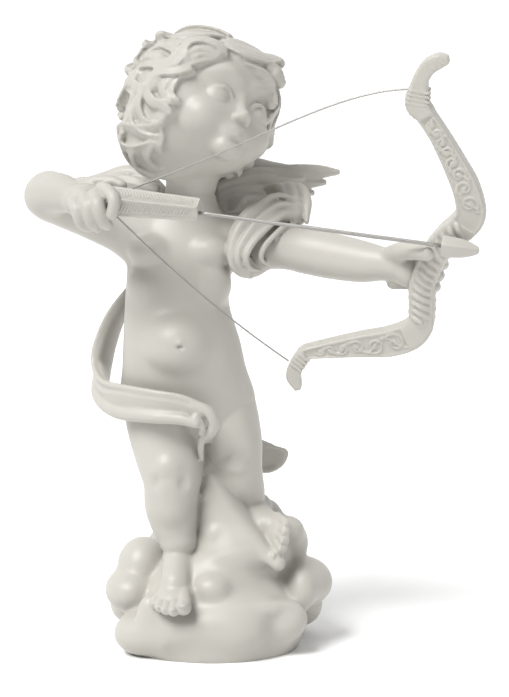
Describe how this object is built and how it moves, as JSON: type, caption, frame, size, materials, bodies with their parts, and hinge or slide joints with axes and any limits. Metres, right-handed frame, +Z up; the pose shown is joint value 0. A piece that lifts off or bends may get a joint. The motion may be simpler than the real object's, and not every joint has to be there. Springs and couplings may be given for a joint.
{
  "type": "cupid statue",
  "caption": "Cast-resin figure of a winged infant archer standing on a cloud-shaped rock and drawing a bow, made to stand on a shelf or table.",
  "frame": {"origin": "middle of the underside of the rock base, on the surface it stands on", "axes": "+Z up from the base to the hair, -Y out of the front of the figure, +X toward the hand that holds the bow"},
  "size_m": [0.2856, 0.1722, 0.4018],
  "materials": {
    "figure": "warm white cast resin, soft satin",
    "bow": "warm white cast resin, carved scrolls",
    "arrow_fletching": "warm white cast resin, carved barbs",
    "arrow_shaft": "wire rod painted to match the resin",
    "arrowhead": "warm white cast resin",
    "bowstring": "taut silver-grey cord"
  },
  "bodies": {
    "root": {"figure": "figure", "bow": "bow", "arrow_fletching": "arrow_fletching", "arrow_shaft": "arrow_shaft", "arrowhead": "arrowhead", "bowstring": "bowstring"}
  },
  "joints": []
}
